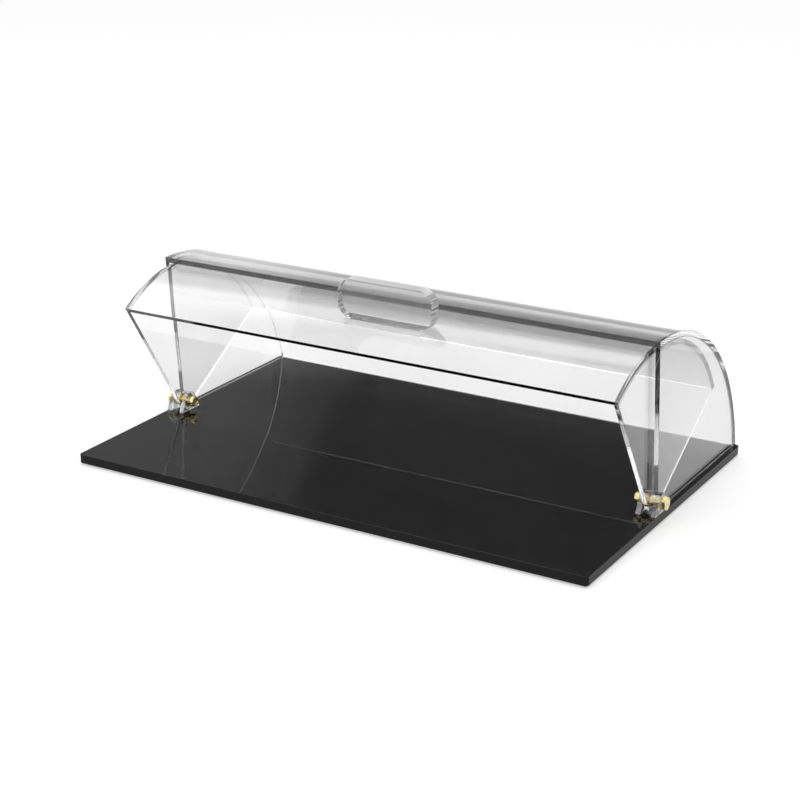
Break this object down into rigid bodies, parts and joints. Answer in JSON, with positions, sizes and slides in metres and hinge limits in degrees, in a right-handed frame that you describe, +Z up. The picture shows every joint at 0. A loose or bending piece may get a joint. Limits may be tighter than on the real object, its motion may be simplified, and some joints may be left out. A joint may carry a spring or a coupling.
{
  "type": "countertop bread display bin",
  "caption": "Clear roll-top bread bin on a black base: a quarter-round cover with a lift handle swings up inside a fixed curved shell.",
  "frame": {"origin": "on the surface the bin stands on, under the middle of the base", "axes": "+X to the right along the bin's width, -Y towards the open front, +Z up; stored with the cover open as pictured"},
  "size_m": [0.6106, 0.38, 0.2182],
  "materials": {
    "black_acrylic": "polished black cast acrylic sheet",
    "clear_acrylic": "polished clear cast acrylic with flame-polished edges",
    "brass": "polished brass",
    "rubber": "matt soft rubber"
  },
  "bodies": {
    "bin": {"base_plate": "black_acrylic", "foot_front_left": "rubber", "foot_front_right": "rubber", "foot_rear_left": "rubber", "foot_rear_right": "rubber", "shell_sheet": "clear_acrylic", "shell_side_left": "clear_acrylic", "shell_side_right": "clear_acrylic", "lug_outer_left": "clear_acrylic", "lug_outer_right": "clear_acrylic", "lug_inner_left": "clear_acrylic", "lug_inner_right": "clear_acrylic", "hinge_bolt_left": "brass", "hinge_bolt_right": "brass", "hinge_nut_left": "brass", "hinge_nut_right": "brass", "washer_outer_left": "brass", "washer_outer_right": "brass", "washer_inner_left": "brass", "washer_inner_right": "brass"},
    "cover": {"cover_sheet": "clear_acrylic", "cover_side_left": "clear_acrylic", "cover_side_right": "clear_acrylic", "cover_handle": "clear_acrylic"}
  },
  "joints": [
    {"name": "cover_pivot", "type": "hinge", "parent": "bin", "child": "cover", "pos_m": [0, -0.0195, 0.0225], "axis": [1, 0, 0], "range_deg": [-10, 58.5]}
  ]
}
